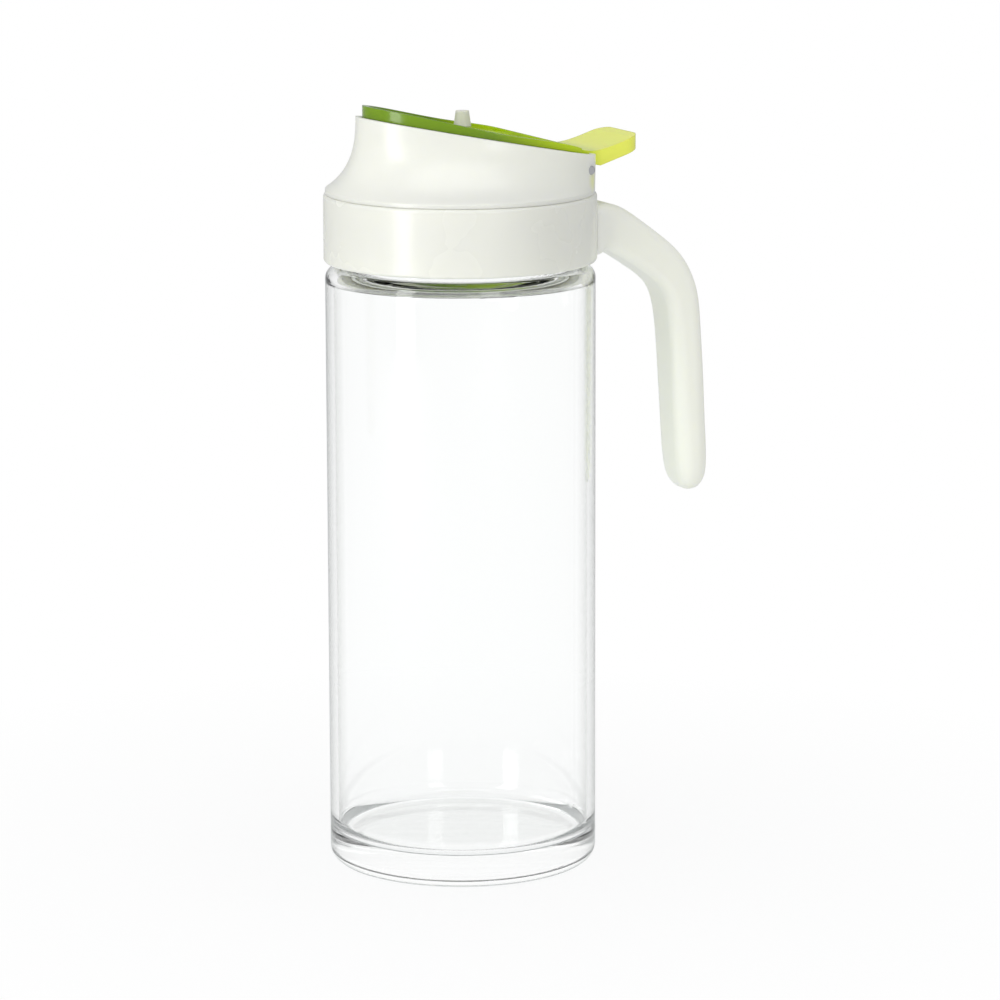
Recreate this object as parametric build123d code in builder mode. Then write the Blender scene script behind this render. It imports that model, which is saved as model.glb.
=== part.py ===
"""Glass pitcher with a turn-off pouring head, a side handle and a thumb-operated flip lid.

Millimetres. Z is up from the table, +X points to the handle, -X to the pouring nose.
"""
import math
import os

from build123d import *

os.makedirs("parts", exist_ok=True)

# ---- Glass ----
glass_r = 47.5
glass_wall = 3.0
base_corner_r = 5.4
floor_t = 11.0
shoulder_z = 214.0
shoulder_corner_r = 4.0
neck_step = 7.5
neck_h = 19.0
neck_r = glass_r - neck_step
neck_inner_r = neck_r - glass_wall
glass_top_z = shoulder_z + neck_h

# ---- Neck seal ----
seal_t = 2.0
seal_inner_r = neck_inner_r - 2.4

# ---- Collar ----
collar_side_step = 0.5
collar_gap = 2.0
collar_h = 24.0
collar_r = glass_r + collar_side_step
collar_bottom_z = shoulder_z + collar_gap
collar_top_z = collar_bottom_z + collar_h
collar_wall = 2.2
collar_edge_r = 1.4
skirt_gap = 0.6
skirt_wall = 2.0
web_t = 2.5
seat_rim_w = 3.4
seat_step_r = collar_r - seat_rim_w

# ---- Pouring head ----
head_step = 0.7
head_r = collar_r - head_step
head_wall = 2.0
flare_start_z = collar_top_z + 1.5
flare_end_z = collar_top_z + 30.0
flare_power = 2.9
rim_z0 = collar_top_z + 21.0
rim_slope = 0.185
spigot_gap = 0.3
notch_half_w = 16.0
notch_floor_z = collar_top_z + 1.6
plan_angles = [0, 20, 36, 46, 60, 75, 90, 105, 120, 135, 150, 165, 180]
plan_insets = [0.0, 0.0, 0.0, 3.7, 9.9, 14.1, 16.5, 17.7, 17.7, 16.3, 13.7, 10.8, 8.9]
plan_radii = [head_r - inset for inset in plan_insets]

# ---- Hinge ----
pin_x = head_r - 10.3
pin_z = collar_top_z + 8.7
pin_r = 1.6
pin_end_inset = 0.85
pin_half_len = math.sqrt(head_r ** 2 - pin_x ** 2) - pin_end_inset
pin_gap = 0.08
boss_r = 3.8
lug_t = 3.0

# ---- Flip lid ----
lid_inset = 2.4
lid_plan_z = collar_top_z + 24.0
lid_seal_plan_z = collar_top_z + 22.0
lid_end_x = pin_x - 3.0
lever_half_w = 15.0
lever_wall = 2.0
dish_depth = 1.3
dish_rim = 2.2
lid_seal_w = 1.8
lid_seal_h = 2.6
seal_side_gap = 0.6
lid_seal_end_x = pin_x - 9.5
lid_seal_bar_w = 57.6

# ---- Vent plug ----
vent_x = 1.0
vent_stem_r = 1.6
vent_head_r = 3.1
vent_head_h = 5.5

# ---- Handle ----
tongue_half_w = 8.0
tongue_low_z = collar_bottom_z + 3.0
tongue_high_z = collar_top_z - 7.5
slot_gap = 0.2


def corner_outline(points):
    """Draw a closed outline in the open line builder, rounding each (x, y, r) corner."""
    ends = []
    n = len(points)
    for i, (x, y, r) in enumerate(points):
        ax, ay = points[i - 1][0] - x, points[i - 1][1] - y
        bx, by = points[(i + 1) % n][0] - x, points[(i + 1) % n][1] - y
        la, lb = math.hypot(ax, ay), math.hypot(bx, by)
        ax, ay, bx, by = ax / la, ay / la, bx / lb, by / lb
        if r <= 0:
            ends.append(((x, y), None, (x, y)))
            continue
        half = math.acos(max(-1.0, min(1.0, ax * bx + ay * by))) / 2
        t = r / math.tan(half)
        mx, my = ax + bx, ay + by
        lm = math.hypot(mx, my)
        mx, my = mx / lm, my / lm
        reach = r / math.sin(half) - r
        start = (x + ax * t, y + ay * t)
        end = (x + bx * t, y + by * t)
        ends.append((start, (x + mx * reach, y + my * reach), end))
    for i in range(n):
        last = ends[i - 1][2]
        start, mid, end = ends[i]
        if math.dist(last, start) > 1e-6:
            Line(last, start)
        if mid is not None:
            ThreePointArc(start, mid, end)


def plan_radius(angle):
    """Rim radius of the pouring head at an angle from +X, by a smooth table lookup."""
    a = abs((angle + 180) % 360 - 180)
    i = 0
    while i < len(plan_angles) - 2 and a > plan_angles[i + 1]:
        i += 1
    a0, a1 = plan_angles[i], plan_angles[i + 1]
    r0, r1 = plan_radii[i], plan_radii[i + 1]
    before = plan_radii[i - 1] if i > 0 else plan_radii[1]
    a_before = plan_angles[i - 1] if i > 0 else -plan_angles[1]
    last = i + 2 >= len(plan_radii)
    after = plan_radii[-2] if last else plan_radii[i + 2]
    a_after = 360 - plan_angles[-2] if last else plan_angles[i + 2]
    m0 = (r1 - before) / (a1 - a_before)
    m1 = (after - r0) / (a_after - a0)
    h = a1 - a0
    t = (a - a0) / h
    return (
        (2 * t ** 3 - 3 * t ** 2 + 1) * r0
        + (t ** 3 - 2 * t ** 2 + t) * h * m0
        + (3 * t ** 2 - 2 * t ** 3) * r1
        + (t ** 3 - t ** 2) * h * m1
    )


def head_points(z, inset):
    """Plan points of the pouring head at height z, moved inward by inset."""
    s = max(0.0, (z - flare_start_z) / (flare_end_z - flare_start_z))
    g = 1 - (1 - min(1.0, s)) ** flare_power
    base = []
    for k in range(60):
        a = k * 6.0
        r = head_r - (head_r - plan_radius(a)) * g
        base.append((r * math.cos(math.radians(a)), r * math.sin(math.radians(a))))
    if inset == 0:
        return base
    moved = []
    for k in range(60):
        px, py = base[k - 1]
        qx, qy = base[(k + 1) % 60]
        tx, ty = qx - px, qy - py
        ln = math.hypot(tx, ty)
        moved.append((base[k][0] - ty / ln * inset, base[k][1] + tx / ln * inset))
    return moved


def head_face(z, inset):
    """Make the closed plan face of the pouring head at height z."""
    with BuildSketch(Plane.XY.offset(z)) as face:
        with BuildLine():
            Spline(*head_points(z, inset), periodic=True)
        make_face()
    return face.sketch


def rim_z(x):
    """Height of the slanted rim at x."""
    return rim_z0 - rim_slope * x


def from_pin(dx, dz):
    """A point of the lid's side view, measured from the hinge pin."""
    return (pin_x + dx, pin_z + dz)


# ---- Glass jug ----
inner_r = glass_r - glass_wall
with BuildPart() as glass_jug:
    with BuildSketch(Plane.XZ) as glass_profile:
        with BuildLine():
            corner_outline([
                (0, 0, 0),
                (glass_r, 0, base_corner_r),
                (glass_r, shoulder_z, shoulder_corner_r),
                (neck_r, shoulder_z, 0.8),
                (neck_r, glass_top_z, 1.0),
                (neck_inner_r, glass_top_z, 1.0),
                (neck_inner_r, shoulder_z - glass_wall, 1.2),
                (inner_r, shoulder_z - glass_wall, 3.0),
                (inner_r, floor_t, 6.0),
                (0, floor_t, 0),
            ])
        make_face()
    revolve(axis=Axis.Z)
glass_jug.part.label = "glass_jug"
export_step(glass_jug.part, "parts/glass_jug.step")

# ---- Neck seal ----
seal_top_z = glass_top_z + seal_t
with BuildPart() as neck_seal:
    with BuildSketch(Plane.XY.offset(glass_top_z)):
        Circle(neck_r)
        Circle(seal_inner_r, mode=Mode.SUBTRACT)
    extrude(amount=seal_t)
neck_seal.part.label = "neck_seal"
export_step(neck_seal.part, "parts/neck_seal.step")

# ---- Collar ----
skirt_inner_r = neck_r + skirt_gap
skirt_outer_r = skirt_inner_r + skirt_wall
shell_inner_r = collar_r - collar_wall
web_top_z = seal_top_z + web_t
with BuildPart() as collar:
    with BuildSketch(Plane.XZ):
        with BuildLine():
            corner_outline([
                (shell_inner_r, collar_bottom_z, 0),
                (collar_r, collar_bottom_z, 1.0),
                (collar_r, collar_top_z, collar_edge_r),
                (seat_step_r, collar_top_z, 0),
                (seat_step_r, web_top_z, 0),
                (seal_inner_r, web_top_z, 0),
                (seal_inner_r, seal_top_z, 0),
                (skirt_inner_r, seal_top_z, 0),
                (skirt_inner_r, collar_bottom_z + 2.5, 0),
                (skirt_outer_r, collar_bottom_z + 2.5, 0),
                (skirt_outer_r, seal_top_z, 0),
                (shell_inner_r, seal_top_z, 0),
            ])
        make_face()
    revolve(axis=Axis.Z)
    with BuildSketch(Plane.YZ.offset(skirt_outer_r + 1.2)):
        with Locations((0, (tongue_low_z + tongue_high_z) / 2)):
            Rectangle(2 * (tongue_half_w + slot_gap), tongue_high_z - tongue_low_z + 2 * slot_gap)
    extrude(amount=8, mode=Mode.SUBTRACT)
collar.part.label = "collar"
export_step(collar.part, "parts/collar.step")

# ---- Pouring head ----
levels = [collar_top_z + rise for rise in (1.5, 3.4, 6.0, 9.5, 14.0, 20.0, 30.0)]
with BuildPart() as head_outer:
    add(extrude(head_face(flare_start_z, 0), amount=-(flare_start_z - collar_top_z)))
    loft([head_face(z, 0) for z in levels])
with BuildPart() as head_inner:
    add(extrude(head_face(flare_start_z, head_wall), amount=-8))
    loft([head_face(z, head_wall) for z in levels])
with BuildPart() as hinge_ears:
    with BuildSketch(Plane.XZ):
        with Locations((pin_x, pin_z)):
            Circle(boss_r)
    extrude(amount=40, both=True)
    Box(90, 2 * notch_half_w + 0.6, 400, mode=Mode.SUBTRACT)
with BuildPart() as pour_head:
    add(head_outer.part)
    add(head_inner.part, mode=Mode.SUBTRACT)
    add(hinge_ears.part & head_outer.part)
    with BuildSketch(Plane.XY.offset(web_top_z)):
        Circle(seat_step_r - spigot_gap)
        Circle(seat_step_r - spigot_gap - head_wall, mode=Mode.SUBTRACT)
    extrude(amount=collar_top_z + 1.2 - web_top_z)
    with BuildSketch(Plane.XY.offset(collar_top_z)):
        Circle(head_r - 0.8)
        Circle(seat_step_r - spigot_gap - head_wall, mode=Mode.SUBTRACT)
    extrude(amount=1.5)
    with BuildSketch(Plane.XY.offset(notch_floor_z)):
        with Locations((pin_x + 8, 0)):
            Rectangle(30, 2 * notch_half_w)
    extrude(amount=40, mode=Mode.SUBTRACT)
    with BuildSketch(Plane.XZ):
        with BuildLine():
            Polyline((-80, rim_z(-80)), (80, rim_z(80)), (80, 300), (-80, 300), close=True)
        make_face()
    extrude(amount=80, both=True, mode=Mode.SUBTRACT)
    with BuildSketch(Plane.XZ):
        with Locations((pin_x, pin_z)):
            Circle(pin_r + 0.02)
    extrude(amount=60, both=True, mode=Mode.SUBTRACT)
pour_head.part.label = "pour_head"
export_step(pour_head.part, "parts/pour_head.step")

# ---- Hinge pin ----
with BuildPart() as hinge_pin:
    with BuildSketch(Plane.XZ):
        with Locations((pin_x, pin_z)):
            Circle(pin_r)
    extrude(amount=pin_half_len, both=True)
hinge_pin.part.label = "hinge_pin"
export_step(hinge_pin.part, "parts/hinge_pin.step")

# ---- Flip lid ----
top_line = [(-44, rim_z(-44) + 3.9), (-30, rim_z(-30) + 4.1), (-15, rim_z(-15) + 3.5), (-2, rim_z(-2) + 2.8)]
top_line += [(10, rim_z(10) + 2.5), (26, rim_z(26) + 2.5)]
top_line += [from_pin(-3, 7.7), from_pin(6, 5.0), from_pin(14, 6.0), from_pin(23, 8.9)]
with BuildPart() as lid_side:
    with BuildSketch(Plane.XZ):
        with BuildLine():
            Spline(*top_line)
            Polyline(top_line[-1], from_pin(26.6, 9.9), from_pin(27.4, 5.1), from_pin(10.5, -0.4),
                     from_pin(4, 0.9))
            Polyline(from_pin(4, 0.9), (lid_end_x, rim_z(lid_end_x) + 0.05), (-44, rim_z(-44) + 0.05),
                     top_line[0])
        make_face()
    extrude(amount=60, both=True)
dish_line = [(x, z - dish_depth) for x, z in top_line[:6]]
with BuildPart() as lid_dish:
    with BuildSketch(Plane.XY.offset(collar_top_z)):
        with BuildLine():
            Spline(*head_points(lid_plan_z, lid_inset + dish_rim), periodic=True)
        make_face()
        with Locations((lid_end_x - 6 + 30, 0)):
            Rectangle(60, 120, mode=Mode.SUBTRACT)
    extrude(amount=60)
    with BuildSketch(Plane.XZ):
        with BuildLine():
            Spline(*dish_line)
            Polyline(dish_line[-1], (26, 300), (-44, 300), dish_line[0])
        make_face()
    extrude(amount=60, both=True, mode=Mode.INTERSECT)
with BuildPart() as flip_lid:
    with BuildSketch(Plane.XY.offset(collar_top_z)):
        with BuildLine():
            Spline(*head_points(lid_plan_z, lid_inset), periodic=True)
        make_face()
        with Locations((lid_end_x + 30, 0)):
            Rectangle(60, 120, mode=Mode.SUBTRACT)
        with Locations((pin_x + 7, 0)):
            RectangleRounded(39.0, 2 * lever_half_w, 6.0)
    extrude(amount=60)
    add(lid_side.part, mode=Mode.INTERSECT)
    add(lid_dish.part, mode=Mode.SUBTRACT)
    with BuildSketch(Plane.XZ):
        with BuildLine():
            Polyline(from_pin(5, -4.7), from_pin(5, 2.7), from_pin(14, 3.7), from_pin(24.2, 6.7),
                     from_pin(24.2, -4.7), close=True)
        make_face()
    extrude(amount=lever_half_w - lever_wall, both=True, mode=Mode.SUBTRACT)
    for side in (-1, 1):
        y_mid = side * (lever_half_w - lug_t / 2)
        with BuildSketch(Plane.XZ.offset(-y_mid)):
            with Locations((pin_x, pin_z)):
                Circle(boss_r)
            with BuildLine():
                Polyline(from_pin(-boss_r, 0), from_pin(boss_r, 0), from_pin(10, 2.3), from_pin(7, 4.3),
                         from_pin(-3.4, 6.5), close=True)
            make_face()
        extrude(amount=lug_t / 2, both=True)
    with BuildSketch(Plane.XZ):
        with Locations((pin_x, pin_z)):
            Circle(pin_r + pin_gap)
    extrude(amount=60, both=True, mode=Mode.SUBTRACT)
    with BuildSketch(Plane.XY.offset(collar_top_z)):
        with Locations((vent_x, 0)):
            Circle(vent_stem_r)
    extrude(amount=60, mode=Mode.SUBTRACT)
flip_lid.part.label = "flip_lid"
export_step(flip_lid.part, "parts/flip_lid.step")

# ---- Lid seal ----
seal_outer_in = head_wall + seal_side_gap
with BuildPart() as lid_seal:
    with BuildSketch(Plane.XY.offset(collar_top_z)):
        with BuildLine():
            Spline(*head_points(lid_seal_plan_z, seal_outer_in), periodic=True)
        make_face()
        with BuildLine():
            Spline(*head_points(lid_seal_plan_z, seal_outer_in + lid_seal_w), periodic=True)
        make_face(mode=Mode.SUBTRACT)
        with Locations((lid_seal_end_x + 30, 0)):
            Rectangle(60, 120, mode=Mode.SUBTRACT)
        with Locations((lid_seal_end_x - lid_seal_w / 2, 0)):
            Rectangle(lid_seal_w, lid_seal_bar_w)
    extrude(amount=60)
    with BuildSketch(Plane.XZ):
        with BuildLine():
            Polyline((-60, rim_z(-60) + 0.05), (60, rim_z(60) + 0.05),
                     (60, rim_z(60) - lid_seal_h), (-60, rim_z(-60) - lid_seal_h), close=True)
        make_face()
    extrude(amount=80, both=True, mode=Mode.INTERSECT)
lid_seal.part.label = "lid_seal"
export_step(lid_seal.part, "parts/lid_seal.step")

# ---- Vent plug ----
vent_seat_z = rim_z(vent_x) + 3.1 - dish_depth
with BuildPart() as vent_plug:
    with BuildSketch(Plane.XY.offset(vent_seat_z + 0.35)):
        Circle(vent_head_r)
    extrude(amount=vent_head_h, taper=8)
    with BuildSketch(Plane.XY.offset(rim_z(vent_x) - 2.2)):
        Circle(vent_stem_r - 0.05)
    extrude(amount=vent_seat_z + 0.6 - rim_z(vent_x) + 2.2)
    with BuildSketch(Plane.XY.offset(rim_z(vent_x) - 2.2)):
        Circle(vent_stem_r + 0.9)
    extrude(amount=1.6)
vent_plug.part = vent_plug.part.moved(Location((vent_x, 0, 0)))
vent_plug.part.label = "vent_plug"
export_step(vent_plug.part, "parts/vent_plug.step")

# ---- Handle ----
# Each station: centre out from the collar's side, centre up from its top, thickness, width,
# corner radius, heading in degrees.
stations = [
    (-4.4, -14.1, 17.6, 38.5, 3.0, 0),
    (0.2, -14.1, 17.4, 35.0, 3.4, -3),
    (6.0, -14.8, 16.4, 26.5, 3.6, -18),
    (15.0, -19.4, 15.0, 21.0, 3.4, -30),
    (23.2, -25.0, 14.4, 19.5, 3.4, -35),
    (30.6, -31.2, 13.6, 19.0, 3.6, -48),
    (35.4, -39.4, 12.8, 19.0, 4.0, -70),
    (37.5, -51.0, 12.4, 19.0, 4.4, -83),
    (39.0, -72.0, 12.4, 19.0, 4.8, -87),
    (40.0, -90.0, 12.4, 19.0, 5.2, -87),
    (40.8, -102.5, 12.0, 18.4, 5.2, -87),
    (41.2, -108.4, 10.2, 16.0, 4.6, -88),
    (41.4, -111.6, 6.6, 11.2, 3.0, -89),
    (41.5, -112.8, 3.4, 6.4, 1.6, -89),
]
sections = []
for reach, rise, thick, wide, corner, heading in stations:
    a = math.radians(heading)
    middle = (collar_r + reach, 0, collar_top_z + rise)
    run = Plane(origin=middle, x_dir=(0, 1, 0), z_dir=(math.cos(a), 0, math.sin(a)))
    with BuildSketch(run) as section:
        RectangleRounded(wide, thick, corner)
    sections.append(section.sketch)
with BuildPart() as handle:
    loft(sections)
    Cylinder(collar_r + 0.02, 600, mode=Mode.SUBTRACT)
    with BuildSketch(Plane.YZ.offset(shell_inner_r - 0.2)):
        with Locations((0, (tongue_low_z + tongue_high_z) / 2)):
            Rectangle(2 * tongue_half_w, tongue_high_z - tongue_low_z)
    extrude(amount=3.5)
handle.part.label = "handle"
export_step(handle.part, "parts/handle.step")
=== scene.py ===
"""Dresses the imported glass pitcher: glass, pale plastic, green flip lid, steel hinge and a studio stage."""
import math

import bmesh
import bpy
from mathutils import Matrix, Quaternion, Vector


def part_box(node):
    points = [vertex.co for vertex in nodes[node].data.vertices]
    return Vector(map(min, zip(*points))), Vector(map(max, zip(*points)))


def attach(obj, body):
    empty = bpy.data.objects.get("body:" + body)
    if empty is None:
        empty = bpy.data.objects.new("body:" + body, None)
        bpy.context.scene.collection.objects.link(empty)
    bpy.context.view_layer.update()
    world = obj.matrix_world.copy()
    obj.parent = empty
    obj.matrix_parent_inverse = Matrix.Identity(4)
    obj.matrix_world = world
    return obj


bl_info = {
    "name": "Glass pitcher dresser",
    "version": (1, 0, 0),
    "blender": (4, 5, 0),
    "location": "View3D > Sidebar > Pitcher",
    "description": "Finishes and small details for a glass pitcher with a flip lid",
    "category": "Object",
}

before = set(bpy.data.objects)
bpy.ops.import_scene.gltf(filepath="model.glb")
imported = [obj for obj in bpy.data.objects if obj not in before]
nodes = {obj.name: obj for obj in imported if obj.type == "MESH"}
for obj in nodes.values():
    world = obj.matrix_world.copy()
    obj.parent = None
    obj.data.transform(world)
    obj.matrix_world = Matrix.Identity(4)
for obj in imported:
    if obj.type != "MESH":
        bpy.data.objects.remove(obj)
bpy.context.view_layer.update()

# Places on the pitcher, in metres
pin_low, pin_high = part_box("hinge_pin")
HINGE_X = (pin_low.x + pin_high.x) / 2
HINGE_Z = (pin_low.z + pin_high.z) / 2
PIN_RADIUS = (pin_high.z - pin_low.z) / 2
NECK_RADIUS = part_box("neck_seal")[1].x
RIM_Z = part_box("glass_jug")[1].z

# Neck thread: it starts below the rim and is let into the glass a little
THREAD_DROP = 0.013
THREAD_ROOT = 0.0002
THREAD_TURNS = 1.5
THREAD_STEPS_PER_TURN = 64

# Lid spring: each turn is spaced in wire radii, and the coil stands clear of the pin
SPRING_SPACING = 2.15
SPRING_CLEARANCE = 0.0003
SPRING_STEPS_PER_TURN = 24

# Segments round the thread's rib and the spring's wire, and the distance that merges their seams
WIRE_SEGMENTS = 8
MERGE_DISTANCE = 1e-7

# Painted light through the pale wall, where the green lug stands behind it: place from the hinge, and reach
LUG_FROM_HINGE = (0.0015, 0.0285, -0.0040)
LUG_GLOW_RADIUS = 0.0048
LUG_GLOW_CORE = 0.2
LUG_GLOW_STRENGTH = 0.5

# Places along the flip lid where its colour changes, in metres: painted light, lighter towards the hinge and
# brightest on the thin lever, where more light passes through
LID_NOSE_X = -0.04
LID_MIDDLE_X = 0.0
LID_BACK_X = (0.028, 0.040)
LEVER_X = (0.048, 0.062)

# Studio
WHITE = (1, 1, 1, 1)
FLOOR_HALF = 30
FLOOR_COLOUR = (0.93, 0.93, 0.93, 1)
FLOOR_SHADOW_REACH = (0.08, 0.30)
FLOOR_WHITE_SHARE = (0.86, 1.0)
ROOM_COLOUR = (0.93, 0.95, 0.97, 1)
ROOM_STRENGTH = 0.56
LIT_POINT = Vector((0.01, 0, 0.14))

# Camera: lens in millimetres, angles in degrees, and its place in metres before it is turned
LENS = 171.0
SENSOR_WIDTH = 36.0
CAMERA_REACH = 100.0
CAMERA_TURN = 25.0
CAMERA_TILT = 11.05
CAMERA_ROLL = -0.17
CAMERA_SIDE = 0.01367
CAMERA_BACK = -1.653
CAMERA_HEIGHT = 0.4528


# Settings
class PitcherSizes(bpy.types.PropertyGroup):
    """Sizes that a user would change."""
    thread_pitch: bpy.props.FloatProperty(
        name="Thread pitch", description="Height of one turn of the neck thread",
        default=0.006, min=0.002, max=0.012, unit="LENGTH")
    thread_height: bpy.props.FloatProperty(
        name="Thread height", description="How far the thread stands out of the neck",
        default=0.00045, min=0.0002, max=0.0006, unit="LENGTH")
    spring_wire: bpy.props.FloatProperty(
        name="Spring wire", description="Radius of the lid spring's wire",
        default=0.00045, min=0.0002, max=0.0008, unit="LENGTH")
    spring_turns: bpy.props.IntProperty(
        name="Spring turns", description="Turns of the lid spring",
        default=6, min=3, max=10)


class PitcherColours(bpy.types.PropertyGroup):
    """Colours that a user would change."""
    pale: bpy.props.FloatVectorProperty(
        name="Pale plastic", description="Colour of the collar and the pouring head",
        default=(0.80, 0.80, 0.715), min=0, max=1, size=3, subtype="COLOR")
    # Painted light: the handle's pale plastic is painted brighter than the collar's, for the light that falls
    # on the handle
    pale_handle_lit: bpy.props.FloatVectorProperty(
        name="Handle plastic", description="Colour of the thick handle, which scatters more light",
        default=(0.93, 0.93, 0.83), min=0, max=1, size=3, subtype="COLOR")
    green: bpy.props.FloatVectorProperty(
        name="Green plastic", description="Colour of the flip lid at the nose",
        default=(0.165, 0.285, 0.008), min=0, max=1, size=3, subtype="COLOR")
    # Painted light: the lid's green is painted lighter near the hinge, where more light passes through it
    green_back_lit: bpy.props.FloatVectorProperty(
        name="Green at the hinge", description="Colour of the flip lid near the hinge",
        default=(0.50, 0.66, 0.008), min=0, max=1, size=3, subtype="COLOR")
    # Painted light: the thin lever's green is painted paler and brighter, where light passes through it
    green_lever_lit: bpy.props.FloatVectorProperty(
        name="Lever green", description="Colour of the thin thumb lever, which light passes",
        default=(0.86, 0.90, 0.13), min=0, max=1, size=3, subtype="COLOR")
    silicone: bpy.props.FloatVectorProperty(
        name="Silicone", description="Colour of the seals and the vent plug",
        default=(0.74, 0.73, 0.63), min=0, max=1, size=3, subtype="COLOR")
    # Painted shade: the glass is painted darker where it is seen edge on
    glass_edge_shade: bpy.props.FloatVectorProperty(
        name="Glass edge", description="Colour of the glass where it is seen edge on",
        default=(0.40, 0.43, 0.40), min=0, max=1, size=3, subtype="COLOR")


# Shader helpers
def add(tree, kind, operation=None):
    """A new node, with its operation where it has one."""
    node = tree.nodes.new(kind)
    if operation:
        node.operation = operation
    return node


def set_inputs(node, values):
    """Set a node's own sockets by their names."""
    for name, value in values.items():
        node.inputs[name].default_value = value


def either_ray(tree, first, second):
    """An output that is 1 for light paths of either kind."""
    path = add(tree, "ShaderNodeLightPath")
    either = add(tree, "ShaderNodeMath", "MAXIMUM")
    tree.links.new(path.outputs[first], either.inputs[0])
    tree.links.new(path.outputs[second], either.inputs[1])
    return either.outputs[0]


def blend_shaders(tree, factor, first, second, output):
    """Send a mix of two shaders to the output: the factor's share of the second."""
    both = add(tree, "ShaderNodeMixShader")
    tree.links.new(factor, both.inputs[0])
    tree.links.new(first.outputs[0], both.inputs[1])
    tree.links.new(second.outputs[0], both.inputs[2])
    tree.links.new(both.outputs[0], output.inputs["Surface"])


def new_material(name):
    """A node material and its Principled shader."""
    material = bpy.data.materials.new(name)
    material.use_nodes = True
    return material, material.node_tree.nodes["Principled BSDF"]


def scatter(shader, weight, radius):
    """Let light travel under the surface, by a distance in metres for each of its colours."""
    set_inputs(shader, {"Subsurface Weight": weight, "Subsurface Radius": radius, "Subsurface Scale": 1.0})


def gloss_coat(shader, weight, roughness):
    """A thin clear gloss over the surface."""
    set_inputs(shader, {"Coat Weight": weight, "Coat Roughness": roughness})


# Shared surface
def moulding_group():
    """Cloudy colour, roughness and fine relief of moulded plastic, as a shader group."""
    group = bpy.data.node_groups.get("moulded_surface")
    if group:
        return group
    group = bpy.data.node_groups.new("moulded_surface", "ShaderNodeTree")
    add_socket = group.interface.new_socket
    for label, kind, value in (
        ("Colour", "NodeSocketColor", (0.8, 0.8, 0.8, 1)),
        ("Cloud Scale", "NodeSocketFloat", 30.0),
        ("Cloud Amount", "NodeSocketFloat", 0.05),
        ("Grain Scale", "NodeSocketFloat", 900.0),
        ("Relief", "NodeSocketFloat", 0.05),
        ("Roughness Low", "NodeSocketFloat", 0.2),
        ("Roughness High", "NodeSocketFloat", 0.3),
        ("Edge", "NodeSocketFloat", 0.0006),
    ):
        socket = add_socket(name=label, in_out="INPUT", socket_type=kind)
        socket.default_value = value
    add_socket(name="Colour", in_out="OUTPUT", socket_type="NodeSocketColor")
    add_socket(name="Roughness", in_out="OUTPUT", socket_type="NodeSocketFloat")
    add_socket(name="Normal", in_out="OUTPUT", socket_type="NodeSocketVector")
    link = group.links.new
    given, result = add(group, "NodeGroupInput"), add(group, "NodeGroupOutput")
    place = add(group, "ShaderNodeTexCoord")

    # Cloudy colour: the noise moves the colour's brightness up and down about its own value
    cloud = add(group, "ShaderNodeTexNoise")
    cloud.inputs["Detail"].default_value = 3
    link(place.outputs["Object"], cloud.inputs["Vector"])
    link(given.outputs["Cloud Scale"], cloud.inputs["Scale"])
    centred = add(group, "ShaderNodeMath", "SUBTRACT")
    centred.inputs[1].default_value = 0.5
    link(cloud.outputs["Fac"], centred.inputs[0])
    amount = add(group, "ShaderNodeMath", "MULTIPLY_ADD")
    amount.inputs[2].default_value = 1.0
    link(centred.outputs[0], amount.inputs[0])
    link(given.outputs["Cloud Amount"], amount.inputs[1])
    tint = add(group, "ShaderNodeVectorMath", "SCALE")
    link(given.outputs["Colour"], tint.inputs[0])
    link(amount.outputs[0], tint.inputs["Scale"])
    link(tint.outputs[0], result.inputs["Colour"])

    # Roughness follows the same clouds
    spread = add(group, "ShaderNodeMapRange")
    link(cloud.outputs["Fac"], spread.inputs["Value"])
    link(given.outputs["Roughness Low"], spread.inputs["To Min"])
    link(given.outputs["Roughness High"], spread.inputs["To Max"])
    link(spread.outputs[0], result.inputs["Roughness"])

    # Fine relief over softened edges
    grain = add(group, "ShaderNodeTexNoise")
    link(place.outputs["Object"], grain.inputs["Vector"])
    link(given.outputs["Grain Scale"], grain.inputs["Scale"])
    soften = add(group, "ShaderNodeBevel")
    soften.samples = 6
    link(given.outputs["Edge"], soften.inputs["Radius"])
    bump = add(group, "ShaderNodeBump")
    bump.inputs["Distance"].default_value = 0.0001
    link(given.outputs["Relief"], bump.inputs["Strength"])
    link(grain.outputs["Fac"], bump.inputs["Height"])
    link(soften.outputs[0], bump.inputs["Normal"])
    link(bump.outputs[0], result.inputs["Normal"])
    return group


def surface_of(material):
    """The shared surface group's node in a moulded material."""
    return next(n for n in material.node_tree.nodes if n.type == "GROUP")


# Materials
def moulded(name, colour, roughness, cloud, relief, grain=900.0):
    """A moulded plastic that uses the shared surface group. Roughness is its lowest and highest value."""
    material, shader = new_material(name)
    tree = material.node_tree
    surface = add(tree, "ShaderNodeGroup")
    surface.node_tree = moulding_group()
    set_inputs(surface, {
        "Colour": (*colour, 1),
        "Cloud Amount": cloud,
        "Relief": relief,
        "Grain Scale": grain,
        "Roughness Low": roughness[0],
        "Roughness High": roughness[1],
    })
    tree.links.new(surface.outputs["Colour"], shader.inputs["Base Color"])
    tree.links.new(surface.outputs["Roughness"], shader.inputs["Roughness"])
    tree.links.new(surface.outputs["Normal"], shader.inputs["Normal"])
    return material, shader


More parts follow.
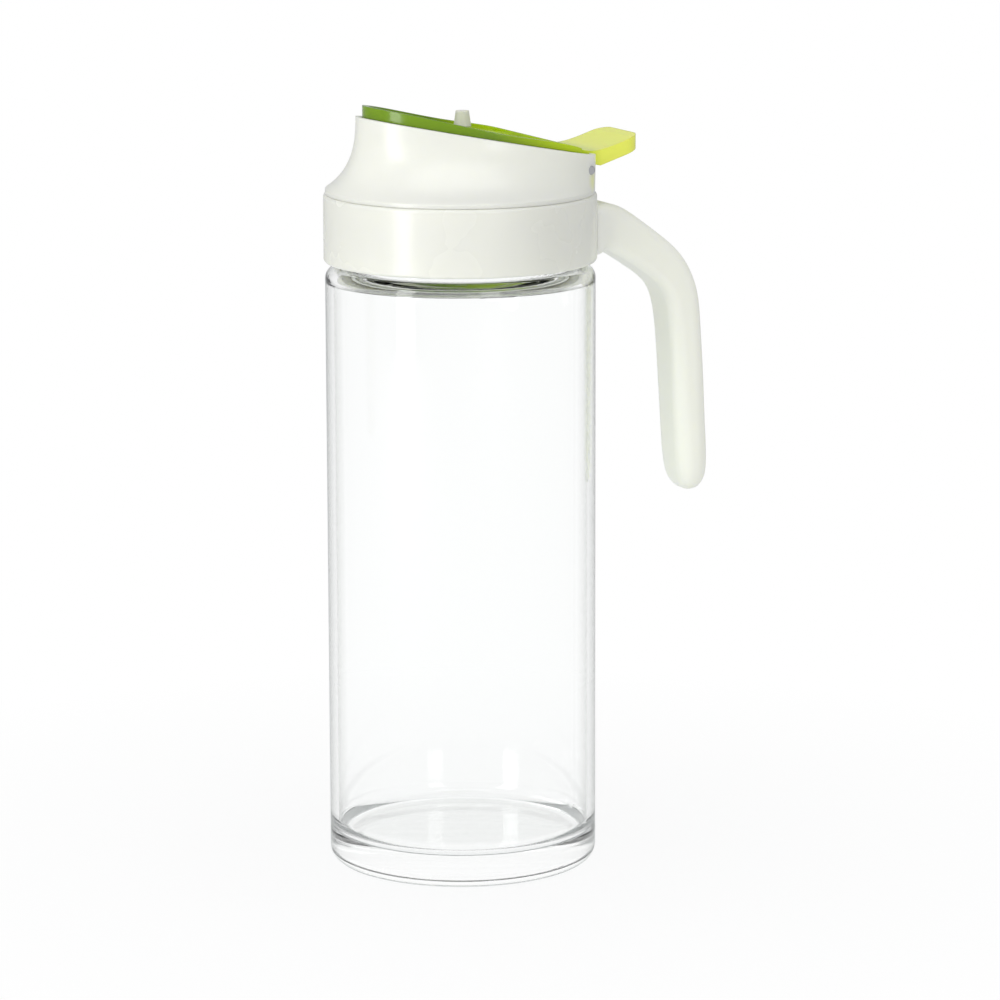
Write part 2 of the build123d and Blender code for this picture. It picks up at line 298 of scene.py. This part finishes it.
def clear_glass(name, edge):
    """Clear glass, faintly smeared, with painted shade that darkens it where it is seen edge on, and that
    casts hardly any shadow.
    """
    material, shader = new_material(name)
    tree = material.node_tree
    set_inputs(shader, {"Transmission Weight": 1.0, "IOR": 1.47})

    # Painted shade: the base colour darkens towards the edges seen edge on
    facing = add(tree, "ShaderNodeLayerWeight")
    facing.inputs["Blend"].default_value = 0.5
    ramp = add(tree, "ShaderNodeValToRGB")
    body, rim = ramp.color_ramp.elements
    body.position, body.color = 0.62, (0.995, 1.0, 0.998, 1)
    rim.position, rim.color = 0.97, (*edge, 1)
    tree.links.new(facing.outputs["Facing"], ramp.inputs["Fac"])
    tree.links.new(ramp.outputs["Color"], shader.inputs["Base Color"])

    place = add(tree, "ShaderNodeTexCoord")
    smear = add(tree, "ShaderNodeTexNoise")
    smear.inputs["Scale"].default_value = 14.0
    spread = add(tree, "ShaderNodeMapRange")
    set_inputs(spread, {"To Min": 0.0, "To Max": 0.015})
    tree.links.new(place.outputs["Object"], smear.inputs["Vector"])
    tree.links.new(smear.outputs["Fac"], spread.inputs["Value"])
    tree.links.new(spread.outputs[0], shader.inputs["Roughness"])

    clear = add(tree, "ShaderNodeBsdfTransparent")
    clear.inputs["Color"].default_value = (0.96, 0.97, 0.965, 1)
    lighting = either_ray(tree, "Is Shadow Ray", "Is Diffuse Ray")
    blend_shaders(tree, lighting, shader, clear, tree.nodes["Material Output"])
    return material


def tint_along(material, stops):
    """Colour a moulded material along X: each stop is a place in metres and a colour."""
    tree = material.node_tree
    place = add(tree, "ShaderNodeTexCoord")
    split = add(tree, "ShaderNodeSeparateXYZ")
    tree.links.new(place.outputs["Object"], split.inputs[0])
    first, last = stops[0][0], stops[-1][0]
    along = add(tree, "ShaderNodeMapRange")
    set_inputs(along, {"From Min": first, "From Max": last})
    tree.links.new(split.outputs["X"], along.inputs["Value"])
    ramp = add(tree, "ShaderNodeValToRGB")
    points = ramp.color_ramp.elements
    while len(points) < len(stops):
        points.new(0.5)
    for point, (x, colour) in zip(points, stops):
        point.position = (x - first) / (last - first)
        point.color = (*colour, 1)
    tree.links.new(along.outputs[0], ramp.inputs["Fac"])
    tree.links.new(ramp.outputs["Color"], surface_of(material).inputs["Colour"])


def glow_through(material, colour, tint, centre, radius):
    """Paint a green glow into the pale wall's colour, for the light that comes through the green lug close
    behind it, on both sides.
    """
    tree = material.node_tree
    link = tree.links.new
    place = add(tree, "ShaderNodeTexCoord")
    split = add(tree, "ShaderNodeSeparateXYZ")
    either_side = add(tree, "ShaderNodeMath", "ABSOLUTE")
    joined = add(tree, "ShaderNodeCombineXYZ")
    apart = add(tree, "ShaderNodeVectorMath", "DISTANCE")
    apart.inputs[1].default_value = centre
    near = add(tree, "ShaderNodeMapRange")
    near.interpolation_type = "SMOOTHSTEP"
    set_inputs(near, {"From Min": radius, "From Max": radius * LUG_GLOW_CORE, "To Max": LUG_GLOW_STRENGTH})
    mixed = add(tree, "ShaderNodeMix")
    mixed.data_type = "RGBA"
    set_inputs(mixed, {"A": (*colour, 1), "B": (*tint, 1)})
    link(place.outputs["Object"], split.inputs[0])
    link(split.outputs["Y"], either_side.inputs[0])
    link(split.outputs["X"], joined.inputs["X"])
    link(either_side.outputs[0], joined.inputs["Y"])
    link(split.outputs["Z"], joined.inputs["Z"])
    link(joined.outputs[0], apart.inputs[0])
    link(apart.outputs["Value"], near.inputs["Value"])
    link(near.outputs[0], mixed.inputs["Factor"])
    link(mixed.outputs["Result"], surface_of(material).inputs["Colour"])


# Pieces
def dress(node, material):
    """Give a carried-over node one material."""
    data = nodes[node].data
    data.materials.clear()
    data.materials.append(material)


def finish_piece(bm, name, material, body):
    """Turn a bmesh into a named piece that rides on a body."""
    bmesh.ops.remove_doubles(bm, verts=bm.verts, dist=MERGE_DISTANCE)
    bmesh.ops.recalc_face_normals(bm, faces=bm.faces)
    data = bpy.data.meshes.new(name)
    bm.to_mesh(data)
    bm.free()
    for face in data.polygons:
        face.use_smooth = True
    piece = bpy.data.objects.new(name, data)
    bpy.context.scene.collection.objects.link(piece)
    data.materials.append(material)
    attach(piece, body)
    return piece


def coil(bm, centre, axis, start, wire, turns, rise, steps):
    """Spin a small ring about an axis while it climbs, and close both ends."""
    ring = bmesh.ops.create_circle(bm, cap_ends=False, segments=WIRE_SEGMENTS, radius=wire)
    verts = ring["verts"]
    radial = (Vector(start) - Vector(centre)).normalized()
    along = Vector(axis).normalized()
    side = along.cross(radial)
    turn = Matrix((radial, along, side)).transposed()
    bmesh.ops.rotate(bm, verts=verts, cent=(0, 0, 0), matrix=turn)
    bmesh.ops.translate(bm, verts=verts, vec=start)
    edges = list(dict.fromkeys(e for v in verts for e in v.link_edges))
    bmesh.ops.contextual_create(bm, geom=edges)
    made = bmesh.ops.spin(bm, geom=verts + edges, cent=centre, axis=along, dvec=along * (rise / steps),
                          angle=2 * math.pi * turns, steps=steps, use_duplicate=False)
    last = [g for g in made["geom_last"] if isinstance(g, bmesh.types.BMEdge)]
    bmesh.ops.contextual_create(bm, geom=last)


# Stage
def white_floor(scene):
    """A wide floor that is white to the eye and keeps a faint shadow near the pitcher."""
    bm = bmesh.new()
    bmesh.ops.create_grid(bm, x_segments=1, y_segments=1, size=FLOOR_HALF)
    data = bpy.data.meshes.new("floor")
    bm.to_mesh(data)
    bm.free()
    floor = bpy.data.objects.new("floor", data)
    scene.collection.objects.link(floor)
    material, shader = new_material("floor_white")
    set_inputs(shader, {"Base Color": FLOOR_COLOUR, "Roughness": 0.8})
    data.materials.append(material)

    tree = material.node_tree
    place = add(tree, "ShaderNodeTexCoord")
    away = add(tree, "ShaderNodeVectorMath", "LENGTH")
    fade = add(tree, "ShaderNodeMapRange")
    near, far = FLOOR_SHADOW_REACH
    least, most = FLOOR_WHITE_SHARE
    set_inputs(fade, {"From Min": near, "From Max": far, "To Min": least, "To Max": most})
    share = add(tree, "ShaderNodeMath", "MULTIPLY")
    tree.links.new(place.outputs["Object"], away.inputs[0])
    tree.links.new(away.outputs["Value"], fade.inputs["Value"])
    tree.links.new(either_ray(tree, "Is Camera Ray", "Is Transmission Ray"), share.inputs[0])
    tree.links.new(fade.outputs[0], share.inputs[1])
    glow = add(tree, "ShaderNodeEmission")
    set_inputs(glow, {"Color": WHITE, "Strength": 1.0})
    blend_shaders(tree, share.outputs[0], shader, glow, tree.nodes["Material Output"])


def studio_world(scene):
    """A pale room that lights the pitcher and looks plain white."""
    world = bpy.data.worlds.new("studio")
    scene.world = world
    world.use_nodes = True
    tree = world.node_tree
    room = tree.nodes["Background"]
    set_inputs(room, {"Color": ROOM_COLOUR, "Strength": ROOM_STRENGTH})
    white = add(tree, "ShaderNodeBackground")
    set_inputs(white, {"Color": WHITE, "Strength": 1.0})
    seen = either_ray(tree, "Is Camera Ray", "Is Transmission Ray")
    blend_shaders(tree, seen, room, white, tree.nodes["World Output"])


def box_lamps(scene):
    """Three large lamps round the pitcher: degrees round it, metres up, out, wide and long, and watts."""
    for name, azimuth, height, distance, width, length, power in (
        ("left_box", -72, 0.42, 1.1, 0.30, 1.0, 5.6),
        ("front_box", 2, 0.55, 1.3, 0.35, 0.7, 2.6),
        ("top_box", -25, 1.3, 0.25, 0.9, 0.9, 4.0),
    ):
        lamp = bpy.data.lights.new(name, "AREA")
        lamp.shape = "RECTANGLE"
        lamp.size, lamp.size_y, lamp.energy = width, length, power
        holder = bpy.data.objects.new(name, lamp)
        around = math.radians(azimuth)
        holder.location = (math.sin(around) * distance, -math.cos(around) * distance, height)
        aim = LIT_POINT - Vector(holder.location)
        holder.rotation_euler = aim.to_track_quat("-Z", "Y").to_euler()
        scene.collection.objects.link(holder)


def photo_camera(scene):
    """A long lens a little above the rim, with the handle turned away from it."""
    lens = bpy.data.cameras.new("photo_view")
    lens.sensor_width = SENSOR_WIDTH
    lens.lens = LENS
    lens.clip_end = CAMERA_REACH
    camera = bpy.data.objects.new("photo_view", lens)
    turn, tilt = math.radians(CAMERA_TURN), math.radians(CAMERA_TILT)
    camera.location = (CAMERA_SIDE * math.cos(turn) + CAMERA_BACK * math.sin(turn),
                       -CAMERA_SIDE * math.sin(turn) + CAMERA_BACK * math.cos(turn), CAMERA_HEIGHT)
    look = Vector((math.cos(tilt) * math.sin(turn), math.cos(tilt) * math.cos(turn), -math.sin(tilt)))
    roll = Quaternion((0, 0, 1), math.radians(CAMERA_ROLL))
    camera.rotation_euler = (look.to_track_quat("-Z", "Y") @ roll).to_euler()
    scene.collection.objects.link(camera)
    scene.camera = camera


# Operators
class PITCHER_OT_glass(bpy.types.Operator):
    """Clear glass on the jug, with the screw thread round its neck"""
    bl_idname = "pitcher.glass"
    bl_label = "Glass jug"

    def execute(self, context):
        sizes, colours = context.scene.pitcher_sizes, context.scene.pitcher_colours
        glass = clear_glass("jug_glass", colours.glass_edge_shade)
        dress("glass_jug", glass)
        thread_z = RIM_Z - THREAD_DROP
        bm = bmesh.new()
        coil(bm, centre=(0, 0, thread_z), axis=(0, 0, 1), start=(NECK_RADIUS - THREAD_ROOT, 0, thread_z),
             wire=sizes.thread_height + THREAD_ROOT, turns=THREAD_TURNS,
             rise=sizes.thread_pitch * THREAD_TURNS, steps=int(THREAD_STEPS_PER_TURN * THREAD_TURNS))
        finish_piece(bm, "neck_thread", glass, "jug")
        return {"FINISHED"}


class PITCHER_OT_plastic(bpy.types.Operator):
    """Pale moulded plastic on the collar, handle and pouring head"""
    bl_idname = "pitcher.plastic"
    bl_label = "Pale plastic parts"

    def execute(self, context):
        colours = context.scene.pitcher_colours
        # The handle's colour is painted brighter than the collar's, painted light for the light falling on it
        for node, colour, roughness, gloss in (
            ("collar", colours.pale, (0.24, 0.30), 0.12),
            ("handle", colours.pale_handle_lit, (0.30, 0.38), 0.15),
            ("pour_head", colours.pale, (0.26, 0.32), 0.12),
        ):
            pale, shader = moulded(node + "_plastic", colour, roughness, cloud=0.03, relief=0.03)
            scatter(shader, weight=0.35, radius=(0.006, 0.006, 0.0045))
            gloss_coat(shader, weight=gloss, roughness=0.12)
            # The pouring head gets a painted green glow where the lug stands behind its wall
            if node == "pour_head":
                lug = Vector((HINGE_X, 0, HINGE_Z)) + Vector(LUG_FROM_HINGE)
                glow_through(pale, colours.pale, colours.green_lever_lit, lug, LUG_GLOW_RADIUS)
            dress(node, pale)
        return {"FINISHED"}


class PITCHER_OT_lid(bpy.types.Operator):
    """Green plastic on the flip lid, silicone on the seals and the vent plug"""
    bl_idname = "pitcher.lid"
    bl_label = "Flip lid"

    def execute(self, context):
        colours = context.scene.pitcher_colours
        green, shader = moulded("lid_plastic", colours.green, (0.14, 0.22), cloud=0.06, relief=0.03)
        shader.inputs["Specular IOR Level"].default_value = 0.35
        gloss_coat(shader, weight=0.15, roughness=0.06)
        scatter(shader, weight=0.2, radius=(0.003, 0.004, 0.001))
        # Painted light along the lid: one green, painted lighter towards the hinge and brightest on the
        # lever, where light passes through
        tint_along(green, (
            (LID_NOSE_X, colours.green),
            (LID_MIDDLE_X, colours.green),
            *((x, colours.green_back_lit) for x in LID_BACK_X),
            *((x, colours.green_lever_lit) for x in LEVER_X),
        ))
        dress("flip_lid", green)
        silicone, soft_shader = moulded("silicone", colours.silicone, (0.42, 0.55), cloud=0.05, relief=0.08)
        scatter(soft_shader, weight=0.5, radius=(0.003, 0.003, 0.002))
        for node in ("lid_seal", "vent_plug", "neck_seal"):
            dress(node, silicone)
        return {"FINISHED"}


class PITCHER_OT_hinge(bpy.types.Operator):
    """Steel hinge pin and the wound spring on it"""
    bl_idname = "pitcher.hinge"
    bl_label = "Hinge pin and spring"

    def execute(self, context):
        sizes = context.scene.pitcher_sizes
        wire, turns = sizes.spring_wire, sizes.spring_turns
        steel, shader = moulded("pin_steel", (0.56, 0.56, 0.57), (0.22, 0.34), cloud=0.1, relief=0.15,
                                grain=1500.0)
        shader.inputs["Metallic"].default_value = 1.0
        dress("hinge_pin", steel)
        reach = PIN_RADIUS + wire + SPRING_CLEARANCE
        width = wire * SPRING_SPACING * turns
        bm = bmesh.new()
        coil(bm, centre=(HINGE_X, -width / 2, HINGE_Z), axis=(0, 1, 0),
             start=(HINGE_X + reach, -width / 2, HINGE_Z), wire=wire, turns=turns, rise=width,
             steps=turns * SPRING_STEPS_PER_TURN)
        finish_piece(bm, "lid_spring", steel, "head")
        return {"FINISHED"}


class PITCHER_OT_stage(bpy.types.Operator):
    """Plain pale floor, soft studio light and the camera"""
    bl_idname = "pitcher.stage"
    bl_label = "Stage"

    def execute(self, context):
        scene = context.scene
        white_floor(scene)
        studio_world(scene)
        box_lamps(scene)
        photo_camera(scene)
        scene.view_settings.view_transform = "Standard"
        return {"FINISHED"}


class PITCHER_PT_panel(bpy.types.Panel):
    """Buttons and settings of the pitcher"""
    bl_label = "Glass pitcher"
    bl_idname = "PITCHER_PT_panel"
    bl_space_type = "VIEW_3D"
    bl_region_type = "UI"
    bl_category = "Pitcher"

    def draw(self, context):
        for group in (context.scene.pitcher_sizes, context.scene.pitcher_colours):
            for name in group.bl_rna.properties.keys():
                if name not in ("rna_type", "name"):
                    self.layout.prop(group, name)
        for operator in STEPS:
            self.layout.operator(operator.bl_idname)


STEPS = (PITCHER_OT_glass, PITCHER_OT_plastic, PITCHER_OT_lid, PITCHER_OT_hinge, PITCHER_OT_stage)
CLASSES = (PitcherSizes, PitcherColours, *STEPS, PITCHER_PT_panel)


def register():
    """Register every class and the settings on the scene."""
    for item in CLASSES:
        bpy.utils.register_class(item)
    bpy.types.Scene.pitcher_sizes = bpy.props.PointerProperty(type=PitcherSizes)
    bpy.types.Scene.pitcher_colours = bpy.props.PointerProperty(type=PitcherColours)


def unregister():
    """Remove the settings and every class."""
    del bpy.types.Scene.pitcher_colours
    del bpy.types.Scene.pitcher_sizes
    for item in reversed(CLASSES):
        bpy.utils.unregister_class(item)


def main():
    """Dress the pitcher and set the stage."""
    register()
    bpy.ops.pitcher.glass()
    bpy.ops.pitcher.plastic()
    bpy.ops.pitcher.lid()
    bpy.ops.pitcher.hinge()
    bpy.ops.pitcher.stage()


if __name__ == "__main__":
    main()
